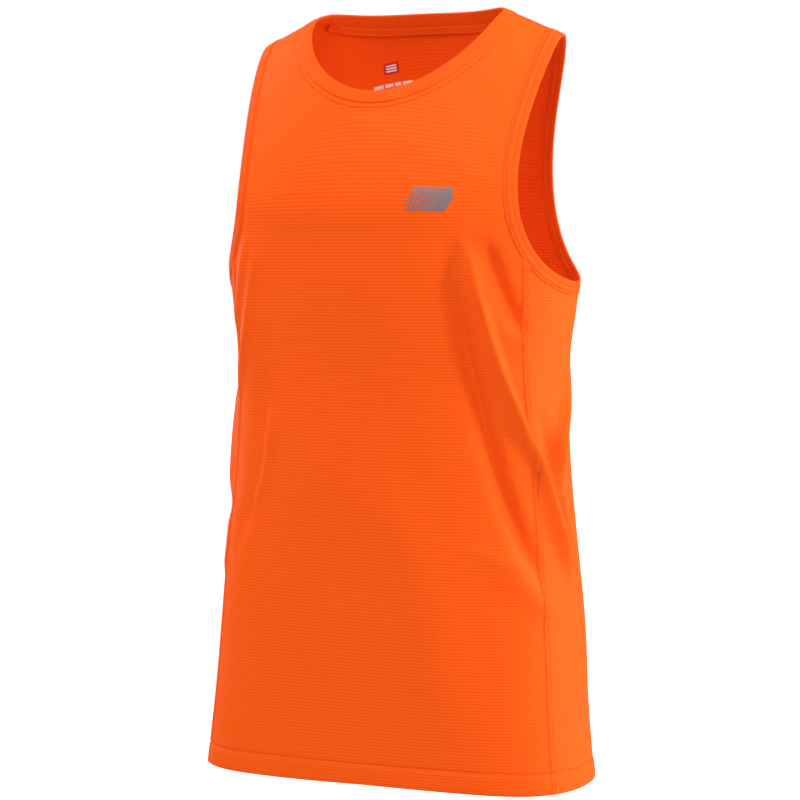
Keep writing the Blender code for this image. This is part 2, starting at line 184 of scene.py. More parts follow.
# Creases that run down the cloth. Each has the width of its two flanks, its lift, and its line:
# the angle round the body and the height of each point, from the top down.
CREASES = (
    (0.0075, 0.0050, 0.0052, ((63, 0.474), (59.5, 0.456), (55.5, 0.422), (50.5, 0.386),
                              (43.5, 0.344), (36, 0.306), (27, 0.258))),
    (0.0090, 0.0070, 0.0026, ((54, 0.404), (49, 0.368), (43.5, 0.334), (37.5, 0.301),
                              (31, 0.272))),
    (0.0120, 0.0105, -0.0048, ((70, 0.480), (66.5, 0.467), (63, 0.422), (58.5, 0.373),
                               (54, 0.332), (49.5, 0.282), (42.5, 0.231), (32.5, 0.181),
                               (26, 0.145))),
    (0.0100, 0.0080, -0.0036, ((54.5, 0.470), (51, 0.446), (46.5, 0.424), (40.5, 0.400),
                               (35, 0.378))),
    (0.0080, 0.0060, 0.0050, ((34.5, 0.318), (28.5, 0.281), (21.5, 0.242), (14.5, 0.207),
                              (4, 0.165))),
    (0.0110, 0.0090, -0.0030, ((26, 0.330), (20, 0.298), (13, 0.262), (6, 0.226), (-3, 0.186))),
    (0.0065, 0.0090, 0.0046, ((-10, 0.372), (-2, 0.346), (7, 0.314), (12, 0.282), (11, 0.245),
                              (4, 0.208), (-2, 0.170))),
    (0.0300, 0.0260, 0.0013, ((86, 0.290), (84.5, 0.255), (78, 0.205), (73, 0.165),
                              (72, 0.082), (72, 0.040))),
    (0.0200, 0.0170, 0.0022, ((52, 0.215), (44, 0.190), (33.5, 0.165), (27, 0.140))),
    (0.0085, 0.0080, 0.0020, ((123, 0.478), (125, 0.459), (128, 0.434), (135.5, 0.386),
                              (143.5, 0.351), (149, 0.320))),
    (0.0075, 0.0090, 0.0015, ((130, 0.478), (131.5, 0.462), (139, 0.418), (147, 0.380))),
    (0.0120, 0.0110, -0.0015, ((124, 0.400), (127, 0.345), (127.5, 0.300), (129, 0.249),
                               (135.5, 0.208), (141, 0.170))),
    (0.0080, 0.0080, 0.0020, ((121.5, 0.330), (122.5, 0.301), (125, 0.258), (131, 0.222))),
    (0.0120, 0.0120, 0.0010, ((152, 0.230), (153.5, 0.204), (151, 0.165))),
    (0.0170, 0.0130, -0.0050, ((-122, 0.455), (-128, 0.405), (-137, 0.350), (-144, 0.305),
                               (-150, 0.255))),
    (0.0120, 0.0150, 0.0046, ((-112, 0.345), (-117, 0.298), (-125, 0.243), (-133, 0.195),
                              (-139, 0.155))),
    (0.0120, 0.0160, 0.0050, ((-64, 0.442), (-60, 0.405), (-53, 0.342), (-45, 0.282),
                              (-37, 0.225))),
    (0.0180, 0.0140, -0.0045, ((-77, 0.315), (-74, 0.262), (-68, 0.205), (-63, 0.155),
                               (-60, 0.112))),
    (0.0100, 0.0140, 0.0032, ((-95, 0.300), (-99, 0.262), (-100, 0.215), (-96, 0.170))),
    (0.0090, 0.0120, 0.0030, ((178, 0.372), (171, 0.338), (165, 0.300), (163, 0.255),
                              (168, 0.214))),
)
CREASE_DEPTH = 2.0
CREASE_WIDTH = 0.85
CREASE_FADE = 0.3
CREASE_REACH = 0.6
# Metres for each radian round the body, at the middle of the front and at the side
FRONT_REACH = 0.155
SIDE_REACH = 0.100
# Creases that run round the body, in the same way, with each line's points by angle
LEVEL_CREASES = (
    (0.0220, 0.0200, 0.0009, ((52, 0.492), (66, 0.490), (84, 0.486), (104, 0.488),
                              (122, 0.492), (136, 0.500))),
    (0.0160, 0.0200, -0.0018, ((-140, 0.352), (-118, 0.344), (-92, 0.338), (-66, 0.344),
                               (-44, 0.356))),
    (0.0140, 0.0160, 0.0016, ((-132, 0.378), (-110, 0.386), (-88, 0.383), (-70, 0.372))),
)
# Where the yoke starts, the cloth's bend inwards is rounded off over this height above and below
BEND_HEIGHT = 0.055
# Slow waves of the cloth between the creases: turns round the body, turns up it, phase, depth
WAVES = (
    (3, 2.6, 0.4, 0.0007),
    (5, 4.1, 2.1, 0.0006),
    (7, 3.3, 4.4, 0.0004),
    (4, 6.7, 1.2, 0.0004),
    (9, 5.2, 5.3, 0.0003),
)
WELD = 0.00001
DENSE = 400
NEWTON_STEPS = 12
STEP = 0.0004
METRES_PER_RADIAN = 0.130
SIDE_ROWS = 140
ARM_ROWS = 96
NECK_ROWS = 60
EDGE_COLUMNS = 10
WIDE_COLUMNS = 64
EDGE_SHARE = 0.07

RIDGE = YOKE_HEIGHT + YOKE_RISE
SHOULDER = RIDGE + SEAM_FORWARD
QUARTER = math.pi / 2


def rows_at(key, table):
    """Each column of the table at the key, on a cubic curve through its rows."""
    rows = np.array(table)
    keys = rows[:, 0]
    key = np.clip(key, keys[0], keys[-1])
    low = np.clip(np.searchsorted(keys, key, side="right") - 1, 0, len(keys) - 2)
    gap = keys[low + 1] - keys[low]
    part = (key - keys[low]) / gap
    columns = []
    for value in rows[:, 1:].T:
        slope = np.gradient(value, keys)
        start = (2 * part**3 - 3 * part**2 + 1) * value[low]
        end = (3 * part**2 - 2 * part**3) * value[low + 1]
        leave = (part**3 - 2 * part**2 + part) * gap * slope[low]
        arrive = (part**3 - part**2) * gap * slope[low + 1]
        columns.append(start + end + leave + arrive)
    return columns


def rounded(angle, square):
    """cos a - s cos 3a and sin a + s sin 3a, over 1 - s: an oval with its corners filled by s."""
    cosine = (np.cos(angle) - square * np.cos(3 * angle)) / (1 - square)
    sine = (np.sin(angle) + square * np.sin(3 * angle)) / (1 - square)
    return cosine, sine


def angle_of(cosine, square):
    """The angle from 0 to a right angle that has this rounded cosine, by Newton's steps."""
    angle = np.arccos(np.clip(cosine, 0, 1))
    for _ in range(NEWTON_STEPS):
        error = rounded(angle, square)[0] - cosine
        slope = (3 * square * np.sin(3 * angle) - np.sin(angle)) / (1 - square)
        angle = np.clip(angle - error / np.minimum(slope, -0.001), 0, QUARTER)
    return angle


def ridge_height(x):
    """The shoulder ridge falls to each side along one branch of a hyperbola."""
    return RIDGE_TOP - RIDGE_SLOPE * np.sqrt(x**2 + RIDGE_ROUND**2)


def plain_form(angle, rise):
    """Half ovals stacked by height, then arches from the top oval to the shoulder ridge.

    The front's square fades up the arch, so that front and back meet along the ridge.
    """
    half_width, front_depth, back_depth, square = rows_at(rise, SECTIONS)
    front = np.sin(angle) > 0
    arch = np.clip((rise - YOKE_HEIGHT) / YOKE_RISE, 0, 1)
    cosine, sine = rounded(angle, np.where(front, square * (1 - arch**2), 0))
    x = half_width * cosine
    y = -sine * np.where(front, front_depth, back_depth)
    out, up = rounded(arch * QUARTER, np.where(front, FRONT_ARCH, BACK_ARCH))
    z = YOKE_HEIGHT + (ridge_height(x) - YOKE_HEIGHT) * up
    y = RIDGE_BACK + (y - RIDGE_BACK) * out
    return np.stack([x, y, np.where(rise < YOKE_HEIGHT, rise, z)], axis=-1)


def outward(angle, rise):
    """Unit normals of the plain form: the cross product of its upward and round directions."""
    turn = STEP / METRES_PER_RADIAN
    low = np.minimum(rise, RIDGE - STEP)
    along = plain_form(angle + turn, low) - plain_form(angle - turn, low)
    up = plain_form(angle, low + STEP) - plain_form(angle, low - STEP)
    normal = np.cross(up, along)
    return normal / np.linalg.norm(normal, axis=-1, keepdims=True)


def eased(share):
    """0 to 1 along an S-shaped curve, 3s^2 - 2s^3."""
    share = np.clip(share, 0, 1)
    return share**2 * (3 - 2 * share)


def crease(along, across, line, spread, widths, lift):
    """lift times a bell across the line, with a width for each flank, eased out at both ends."""
    keys, values = np.array(sorted(line)).T
    middle = rows_at(along, np.stack([keys, values], axis=1))[0]
    slope = (rows_at(along + STEP, np.stack([keys, values], axis=1))[0] - middle) / STEP
    off = (across - middle) * spread / np.sqrt(1 + (slope * spread) ** 2)
    width = CREASE_WIDTH * np.where(off > 0, widths[0], widths[1])
    share = (along - keys[0]) / (keys[-1] - keys[0])
    fade = eased(share / CREASE_FADE) * eased((1 - share) / CREASE_FADE)
    return CREASE_DEPTH * lift * np.exp(-((off / width) ** 2)) * fade


def yoke_bend(angle):
    """The slope by which the plain form turns inwards where the yoke starts, at each angle.

    It is the share of a short step up past the start that goes against the normal below it.
    """
    start = np.full(angle.shape, YOKE_HEIGHT)
    step = plain_form(angle, start + STEP) - plain_form(angle, start)
    inwards = -outward(angle, start - 2 * STEP)
    return (step * inwards).sum(axis=-1) / np.linalg.norm(step, axis=-1)


def cloth_lift(angle, rise):
    """How far the cloth lies off the plain form: its creases, slow waves and the yoke's bend.

    The bend is rounded by taking off its slope times the square of the distance left to the
    rounding's end, over four times the rounding's height.
    """
    turned = np.degrees(angle)
    lift = np.zeros(np.broadcast(angle, rise).shape)
    for after, before, height, line in CREASES:
        points = [(point_height, point_angle) for point_angle, point_height in line]
        middle = np.mean([point[1] for point in points])
        near = (turned - middle + 180) % 360 - 180 + middle
        spread = np.radians(np.hypot(FRONT_REACH * np.sin(angle), SIDE_REACH * np.cos(angle)))
        lift += crease(rise, near, points, spread, (after, before), height)
    for above, below, height, line in LEVEL_CREASES:
        lift += crease(turned, rise, line, 1.0, (above, below), height)
    for turns, rises, phase, depth in WAVES:
        lift += depth * np.sin(turns * angle + phase) * np.cos(rises * 2 * math.pi * rise + phase)
    shoulders = 1 - eased((rise - YOKE_HEIGHT) / (CREASE_REACH * YOKE_RISE))
    near = np.maximum(BEND_HEIGHT - np.abs(rise - YOKE_HEIGHT), 0)
    return lift * shoulders - yoke_bend(angle) * near**2 / (4 * BEND_HEIGHT)


def under_ridge(angle, rise):
    """A place past the ridge, as the same place on the other side."""
    over = rise > RIDGE
    return np.where(over, -angle, angle), np.where(over, 2 * RIDGE - rise, rise)


def on_cloth(angle, rise, proud=0.0):
    """Points on the cloth's outside, moved out by proud, with the origin at the shoulders."""
    angle, rise = under_ridge(angle, rise)
    away = cloth_lift(angle, rise) + proud
    points = plain_form(angle, rise) + outward(angle, rise) * away[..., None]
    middle = (NECK_HALF_WIDTH + STRAP_END) / 2
    return points - np.array([0, RIDGE_BACK, ridge_height(middle) - CLOTH])


def mirrored(angle):
    """The same place on the wearer's other side."""
    return np.where(angle >= 0, math.pi - angle, -math.pi - angle)


def offset_line(angle, rise, width):
    """A line on the form moved sideways, across itself, to the left of its direction."""
    turn = STEP / METRES_PER_RADIAN
    low = np.minimum(rise, RIDGE - STEP)
    tangent = np.gradient(plain_form(angle, np.minimum(rise, RIDGE)), axis=0)
    tangent /= np.linalg.norm(tangent, axis=-1, keepdims=True)
    side = np.cross(outward(angle, rise), tangent) * width
    along = (plain_form(angle + turn, low) - plain_form(angle - turn, low)) / (2 * turn)
    up = (plain_form(angle, low + STEP) - plain_form(angle, low - STEP)) / (2 * STEP)
    steps = np.linalg.pinv(np.stack([along, up], axis=-1), rcond=0.02) @ side[..., None]
    return angle + steps[:, 0, 0], rise + steps[:, 1, 0]


def ridge_reach(angle):
    """Metres over the form for each metre of rise, close to the ridge."""
    top = np.full(angle.shape, RIDGE)
    return np.linalg.norm(plain_form(angle, top) - plain_form(angle, top - STEP), axis=-1) / STEP


def unrolled(front, angle, rise):
    """Front and back as one strip: the back from the hem to the ridge, then down the front."""
    over = rise > RIDGE
    past = (rise - RIDGE) * ridge_reach(angle) / ridge_reach(-angle)
    low = np.where(over, RIDGE - past, rise)
    return np.abs(angle), np.where(front ^ over, 2 * RIDGE - low, low)


def rolled(angle, along):
    """A place on the strip as an angle and a rise on the form."""
    front = along > RIDGE
    return np.where(front, angle, -angle), np.where(front, 2 * RIDGE - along, along)


def neck_edge():
    """The neck edge, half an oval in plan: from the back centre over to the front centre."""
    turn = np.linspace(-QUARTER, QUARTER, DENSE)
    x = NECK_HALF_WIDTH * np.cos(turn)
    y = NECK_CENTRE - np.sin(turn) * np.where(turn > 0, NECK_FRONT, NECK_BACK)
    front = y < RIDGE_BACK
    half_width, front_depth, back_depth, square = rows_at(np.full(DENSE, RIDGE), SECTIONS)
    arch = np.ones(DENSE)
    for _ in range(NEWTON_STEPS):
        faded = np.where(front, square * (1 - arch**2), 0)
        angle = angle_of(x / half_width, faded)
        depth = rounded(angle, faded)[1] * np.where(front, -front_depth, back_depth)
        share = (y - RIDGE_BACK) / (depth - RIDGE_BACK)
        arch = angle_of(share, np.where(front, FRONT_ARCH, BACK_ARCH)) / QUARTER
    return np.where(front, angle, -angle), YOKE_HEIGHT + YOKE_RISE * arch


def arm_edge():
    """The armhole edge, from the underarm up the back, over the ridge and down the front.

    It starts in by a half sine of its share of the drop and swings out by a high power of it.
    """
    drop = np.sin(np.linspace(0, QUARTER, DENSE))
    top = ridge_height(STRAP_END)
    z = top - (top - UNDERARM) * drop
    half_width, _, _, square = rows_at(z, SECTIONS)
    sides = []
    for sign, scoop, arch_square in ((-1, BACK_SCOOP, BACK_ARCH), (1, FRONT_SCOOP, FRONT_ARCH)):
        x = STRAP_END - scoop * np.sin(math.pi * drop**SCOOP_LEAN)
        x += (half_width - STRAP_END) * drop**UNDERARM_CURVE
        share = np.clip((z - YOKE_HEIGHT) / (ridge_height(x) - YOKE_HEIGHT), 0, 1)
        arch = 1 - angle_of(share, arch_square) / QUARTER
        angle = angle_of(x / half_width, square * (1 - arch**2) if sign > 0 else 0)
        rise = np.where(z < YOKE_HEIGHT, z, YOKE_HEIGHT + YOKE_RISE * arch)
        sides.append((sign * angle, rise))
    (back_angle, back_rise), (front_angle, front_rise) = sides
    angle = np.concatenate([back_angle[::-1], front_angle[1:]])
    return angle, np.concatenate([back_rise[::-1], front_rise[1:]])


def moved_line(edge, width):
    """An edge moved over the cloth by a width, as an unrolled line."""
    return unrolled(edge[0] > 0, *offset_line(*edge, width))


def crossing(values):
    """Where along an array its values first change sign, as a fraction of an index."""
    first = int(np.nonzero(np.diff(np.sign(values)))[0][0])
    return first + values[first] / (values[first] - values[first + 1])


def evenly(line, start, end, count):
    """Fractional indices of count + 1 points at equal distances along an edge."""
    path = plain_form(line[0], np.minimum(line[1], RIDGE))
    length = np.concatenate([[0], np.cumsum(np.linalg.norm(np.diff(path, axis=0), axis=-1))])
    index = np.arange(len(length))
    ends = np.interp([start, end], index, length)
    return np.interp(np.linspace(*ends, count + 1), length, index)


def at_places(line, where):
    """A line's angles and rises at fractional indices."""
    index = np.arange(len(line[0]))
    return np.interp(where, index, line[0]), np.interp(where, index, line[1])


def side_angle(rise, front):
    """The angle round the body of a side seam, front or back, at a rise."""
    front_angle, back_angle = rows_at(rise, SIDE_SEAMS)
    return np.radians(front_angle if front else back_angle)


def hem_height(angle):
    """The hem rises at the middle of the front, by the sine of the angle."""
    return HEM_LIFT * np.maximum(np.sin(angle), 0)


NECK_LINE = neck_edge()
ARM_LINE = arm_edge()
NECK_CUT = moved_line(NECK_LINE, NECK_BAND - TUCK)
ARM_CUT = moved_line(ARM_LINE, TUCK - ARM_BAND)
NECK_SHOULDER = crossing(NECK_CUT[1] - SHOULDER)
ARM_SHOULDER = crossing(ARM_CUT[1] - SHOULDER)
ARM_BACK = crossing(ARM_CUT[0][:DENSE] + side_angle(ARM_CUT[1][:DENSE], False))
ARM_FRONT = DENSE + crossing(ARM_CUT[0][DENSE:] - side_angle(2 * RIDGE - ARM_CUT[1][DENSE:], True))

# The hem: the edge of the turn-up inside, down to the fold, round it, and up the outside. Its
# rows are given by how far they lie above the fold and inside the cloth's face.
STITCH_HEIGHT = 0.0180
HEM_REACH = 0.030
HEM_FULL = 0.0006
HEM_ROUND = 0.003
HEM_SLOPE = 0.005
HEM_DIP = 0.0007
HEM_DIP_WIDTH = 0.0011
LAP_THICK = 0.0007
LAP_WIDTH = 0.0026
LAP_EDGE = 0.0014
turn = np.linspace(0, math.pi, 7)
hem_rows = [(height, 2 * HEM_FOLD) for height in (HEM_DEPTH, 0.0194, 0.0150, 0.0100, 0.0050)]
hem_rows += list(zip(HEM_FOLD * (1 - np.sin(turn)), HEM_FOLD * (1 + np.cos(turn))))
hem_rows += [(height, 0.0) for height in (0.0035, 0.0065, 0.0095, 0.0120, 0.0140, 0.0155)]
hem_rows += [(height, 0.0) for height in np.arange(0.0164, 0.0220, 0.0006)]
HEM_ROWS = np.array(hem_rows)


def hem_profile(height):
    """The hem's face: full between fold and stitches, drawn in by a bell at the stitch line."""
    full = HEM_FULL * eased(height / HEM_ROUND) * eased((STITCH_HEIGHT - height) / HEM_SLOPE)
    return full - HEM_DIP * np.exp(-(((height - STITCH_HEIGHT) / HEM_DIP_WIDTH) ** 2))


def seam_profile(off):
    """The flat seam's thicker lap: level up to its width from the seam line, then eased away."""
    return LAP_THICK * (1 - eased((np.abs(off) - LAP_WIDTH) / LAP_EDGE))


def panel_rows(bottom, top, rows):
    """Heights of a panel's rows: the hem's rows first, then even ones to the top."""
    above = np.linspace(bottom + HEM_ROWS[-1, 0], top, rows + 1)[1:]
    return np.concatenate([bottom + HEM_ROWS[:, 0], above])


def panel_depths(rows):
    """How far inside the cloth's face each row of a panel lies, as a column."""
    return np.concatenate([HEM_ROWS[:, 1], np.zeros(rows - len(HEM_ROWS))])[:, None]


def row_lengths(points):
    """The length along each row of a grid, from its first column."""
    steps = np.linalg.norm(np.diff(points, axis=1), axis=-1)
    return np.concatenate([np.zeros((len(points), 1)), np.cumsum(steps, axis=1)], axis=1)


def nearest(points, line):
    """The distance from each point to the nearest of a line's points."""
    flat = points.reshape(-1, 3)
    far = [np.linalg.norm(flat[i : i + 2000, None] - line, axis=-1).min(axis=1)
           for i in range(0, len(flat), 2000)]
    return np.concatenate(far).reshape(points.shape[:-1])


def squares(rows, columns, of_rows, of_columns):
    """The corners of a grid's square faces, whose rows and columns may come round to the first."""
    row, column = np.meshgrid(np.arange(rows), np.arange(columns), indexing="ij")
    corners = [(row, column), (row, column + 1), (row + 1, column + 1), (row + 1, column)]
    return np.stack([a % of_rows * of_columns + b % of_columns for a, b in corners], axis=-1)


def placed(name, mesh):
    """An object for a finished mesh, in the scene and on the singlet's one body."""
    made = bpy.data.objects.new(name, mesh)
    scene.collection.objects.link(made)
    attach(made, "root")
    return made


def grid_piece(name, points, uv, facing, closed=False, split=None, values=None):
    """An object whose square faces join a grid's points, turned to look the way of facing.

    A closed grid's rows and columns both join up, and its uv has one more of each. A grid that
    is split after a column has no faces there, and its two halves are welded where they meet.
    """
    rows, columns = points.shape[:2]
    wide = (rows, columns) if closed else (rows - 1, columns - 1)
    kept = np.arange(wide[1]) != split
    quads = squares(*wide, rows, columns)[:, kept].reshape(-1, 4)
    corners = squares(*wide, *uv.shape[:2])[:, kept].reshape(-1, 4)
    diagonal = points[1:, 1:] - points[:-1, :-1]
    other = points[1:, :-1] - points[:-1, 1:]
    side = (np.cross(diagonal, other) * facing[:-1, :-1]).sum()
    if side < 0:
        quads, corners = quads[:, ::-1], corners[:, ::-1]
    mesh = bpy.data.meshes.new(name)
    mesh.from_pydata(points.reshape(-1, 3).tolist(), [], quads.tolist())
    layer = mesh.uv_layers.new(name="cloth")
    layer.data.foreach_set("uv", uv.reshape(-1, 2)[corners.ravel()].ravel())
    for key, value in (values or {}).items():
        attribute = mesh.attributes.new(key, "FLOAT", "POINT")
        attribute.data.foreach_set("value", value.ravel())
    if split is not None:
        halves = bmesh.new()
        halves.from_mesh(mesh)
        bmesh.ops.remove_doubles(halves, verts=halves.verts, dist=WELD)
        halves.to_mesh(mesh)
        halves.free()
    mesh.shade_smooth()
    return placed(name, mesh)


def thickened(made):
    """Gives a sheet of cloth its thickness, inwards from its face."""
    solidify = made.modifiers.new("wall", "SOLIDIFY")
    solidify.offset = -1
    solidify.thickness = CLOTH


def half_grid(front):
    """Angles and rises of half a front or back: from its middle and neck to side and armhole."""
    if front:
        neck = at_places(NECK_CUT, evenly(NECK_LINE, DENSE - 1, NECK_SHOULDER, NECK_ROWS))
        arm = at_places(ARM_CUT, evenly(ARM_LINE, ARM_FRONT, ARM_SHOULDER, ARM_ROWS))
        neck_rise, arm_rise = 2 * RIDGE - neck[1], 2 * RIDGE - arm[1]
    else:
        neck = at_places(NECK_CUT, evenly(NECK_LINE, 0, NECK_SHOULDER, NECK_ROWS))
        arm = at_places(ARM_CUT, evenly(ARM_LINE, ARM_BACK, ARM_SHOULDER, ARM_ROWS))
        neck_rise, arm_rise = neck[1], arm[1]
    sign = 1 if front else -1
    middle_rows = SIDE_ROWS + ARM_ROWS - NECK_ROWS
    middle = panel_rows(hem_height(sign * QUARTER), neck_rise[0], middle_rows)
    side = panel_rows(hem_height(side_angle(0.0, front)), arm_rise[0], SIDE_ROWS)
    inner_angle = np.concatenate([np.full(len(middle) - 1, QUARTER), neck[0]])
    inner_rise = np.concatenate([middle[:-1], neck_rise])
    outer_angle = np.concatenate([np.abs(side_angle(side, front))[:-1], arm[0]])
    outer_rise = np.concatenate([side[:-1], arm_rise])
    wide = np.linspace(0, 1 - EDGE_SHARE, WIDE_COLUMNS)
    edge = np.linspace(1 - EDGE_SHARE, 1, EDGE_COLUMNS + 1)
    share = np.concatenate([wide, edge[1:]])
    angle = inner_angle[:, None] + (outer_angle - inner_angle)[:, None] * share
    rise = inner_rise[:, None] + (outer_rise - inner_rise)[:, None] * share
    return sign * angle, rise


def seam_line(front, left):
    """Points along a side seam on the plain form, for measuring distances from it."""
    rise = np.linspace(0, UNDERARM + 0.06, DENSE)
    angle = side_angle(rise, front)
    return on_cloth(angle if left else mirrored(angle), rise)


def neck_distance(points):
    """The distance of points from the neck binding's seam."""
    sides = []
    for flip in (False, True):
        angle, rise = rolled(*moved_line(NECK_LINE, NECK_BAND))
        sides.append(on_cloth(mirrored(angle) if flip else angle, rise))
    return nearest(points, np.concatenate(sides))


def shoulder_distance(points):
    """The distance of points from the nearer shoulder seam."""
    neck = at_places(NECK_CUT, NECK_SHOULDER)[0]
    arm = at_places(ARM_CUT, ARM_SHOULDER)[0]
    angle, rise = rolled(np.linspace(neck, arm, DENSE), np.full(DENSE, SHOULDER))
    seams = [on_cloth(angle, rise), on_cloth(mirrored(angle), rise)]
    return nearest(points, np.concatenate(seams))


def hemmed(angle, rise, height, plain, seams):
    """The cloth's points, turned up at the hem and thicker along the side seams given."""
    inside = panel_depths(len(rise))
    off = np.min([nearest(plain, seam_line(front, left)) for front, left in seams], axis=0)
    outside = np.where(inside > 0, 0, hem_profile(height) * (height < HEM_REACH))
    return on_cloth(angle, rise, outside + seam_profile(off) - inside)


def body_panel(name, front):
    """The front or back panel's piece, with its hem turned up and its seam laps raised."""
    half_angle, half_rise = half_grid(front)
    angle = np.concatenate([mirrored(half_angle)[:, ::-1], half_angle], axis=1)
    rise = np.concatenate([half_rise[:, ::-1], half_rise], axis=1)
    middle = half_angle.shape[1]
    plain = on_cloth(angle, rise)
    points = hemmed(angle, rise, rise - hem_height(angle), plain, ((front, True), (front, False)))
    lengths = row_lengths(plain)
    uv = np.stack([lengths - lengths[:, middle, None], rise], axis=-1)
    facing = outward(*under_ridge(angle, rise))
    facing[: len(HEM_ROWS)] = 0
    values = {"from_neck": neck_distance(plain), "from_shoulder": shoulder_distance(plain)}
    made = grid_piece(name + "_cloth", points, uv, facing, split=middle - 1, values=values)
    thickened(made)
    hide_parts(name)
    return made


COURSE = 0.00263
WALE = 0.0015
NECK_LAP = 0.0054
SHOULDER_LAP = 0.0042
LAP_FADE = 0.0018
LAP_HEIGHT = 0.0007
GROOVE_WIDTH = 0.0007
GROOVE_DEPTH = 0.0003
# The knit's colour runs from the second, darker colour between its courses, as painted shade, to the
# first on its loops. A soft cloud also varies it at random.
CLOTH_COLOUR = (0.93, 0.107, 0.0080, 1.0)
KNIT_PAINTED_SHADE_AND_CLOUD_COLOUR = (0.82, 0.056, 0.0036, 1.0)
KNIT_SHEEN = {"Specular_IOR_Level": 0.03, "Sheen_Weight": 0.08, "Sheen_Tint": (1.0, 0.25, 0.02, 1.0)}
RIB_SQUARENESS = 0.7
LOOP_DEPTH = 0.3
KNIT_DEPTH = 0.00016
KNIT_SHADE = 0.55
LEAST_SHADE = 0.30
CLOUD_TONE = 0.30


class Nodes:
    """Places shader nodes in a tree and joins them, one call for each node."""

    def __init__(self, tree):
        self.tree = tree

    def add(self, kind, inputs=(), **settings):
        node = self.tree.nodes.new(kind)
        for key, value in settings.items():
            setattr(node, key, value)
        for key, value in dict(inputs).items():
            if isinstance(value, bpy.types.NodeSocket):
                self.tree.links.new(value, node.inputs[key])
            else:
                node.inputs[key].default_value = value
        return node

    def math(self, operation, *values, clamp=False):
        inputs = dict(enumerate(values))
        return self.add("ShaderNodeMath", inputs, operation=operation, use_clamp=clamp).outputs[0]

    def wave(self, along):
        """The size of sin(pi along): a row of rounded ribs, one for each unit."""
        return self.math("ABSOLUTE", self.math("SINE", self.math("MULTIPLY", along, math.pi)))


def new_finish(name, roughness, **values):
    """A material, its nodes and its shader, with the values that are the same all over."""
    made = bpy.data.materials.new(name)
    made.use_nodes = True
    shader = made.node_tree.nodes["Principled BSDF"]
    for key, value in {"Roughness": roughness, **values}.items():
        shader.inputs[key.replace("_", " ")].default_value = value
    return made, Nodes(made.node_tree), shader


def coloured(made, nodes, shader, share, low, high):
    """Gives the shader a colour that goes from low to high with the share."""
    mix = nodes.add("ShaderNodeMix", {"Factor": share}, data_type="RGBA")
    mix.inputs["A"].default_value = low
    mix.inputs["B"].default_value = high
    made.node_tree.links.new(mix.outputs["Result"], shader.inputs["Base Color"])


def cloth_map(nodes):
    """Metres across and up a piece, from the UV map that each piece of cloth has."""
    place = nodes.add("ShaderNodeUVMap", uv_map="cloth").outputs["UV"]
    return nodes.add("ShaderNodeSeparateXYZ", {"Vector": place}).outputs


def noise(nodes, scale, detail):
    """A noise fixed to the piece."""
    body = nodes.add("ShaderNodeTexCoord").outputs["Object"]
    inputs = {"Vector": body, "Scale": scale, "Detail": detail}
    return nodes.add("ShaderNodeTexNoise", inputs).outputs["Fac"]


def knit_group():
    """The knit as a node group: level courses of small loops, each course shifted by half a loop.

    Height is a rounded rib for each course times a shallow wave along it, from 0 between the
    courses to 1 on the loops.
    """
    group = bpy.data.node_groups.new("fine_knit", "ShaderNodeTree")
    group.interface.new_socket("Across", in_out="INPUT", socket_type="NodeSocketFloat")
    group.interface.new_socket("Up", in_out="INPUT", socket_type="NodeSocketFloat")
    group.interface.new_socket("Height", in_out="OUTPUT", socket_type="NodeSocketFloat")
    nodes = Nodes(group)
    start = nodes.add("NodeGroupInput").outputs
    up = nodes.math("DIVIDE", start["Up"], COURSE)
    course = nodes.math("FLOOR", up)
    shift = nodes.math("MULTIPLY", nodes.math("MODULO", course, 2.0), 0.5)
    along = nodes.math("ADD", nodes.math("DIVIDE", start["Across"], WALE), shift)
    round_rib = nodes.math("POWER", nodes.wave(up), RIB_SQUARENESS)
    loop = nodes.math("MULTIPLY_ADD", nodes.wave(along), LOOP_DEPTH, 1 - LOOP_DEPTH)
    height = nodes.math("MULTIPLY", round_rib, loop)
    nodes.add("NodeGroupOutput", {"Height": height})
    return group


KNIT = knit_group()


def seam_bump(nodes, attribute, wide, groove_place, normal):
    """A seam's lap as bump: its height falls off past its width, less a bell at the groove."""
    off = nodes.add("ShaderNodeAttribute", attribute_name=attribute).outputs["Fac"]
    limits = {"Value": off, "From Min": wide - LAP_FADE, "From Max": wide, "To Min": LAP_HEIGHT,
              "To Max": 0.0}
    lap = nodes.add("ShaderNodeMapRange", limits, interpolation_type="SMOOTHSTEP").outputs["Result"]
    away = nodes.math("DIVIDE", nodes.math("SUBTRACT", off, groove_place), GROOVE_WIDTH)
    bell = nodes.math("EXPONENT", nodes.math("MULTIPLY", nodes.math("MULTIPLY", away, away), -1.0))
    height = nodes.math("MULTIPLY_ADD", bell, -GROOVE_DEPTH, lap)
    bump = nodes.add("ShaderNodeBump", {"Height": height, "Distance": 1.0, "Normal": normal})
    return bump.outputs["Normal"]


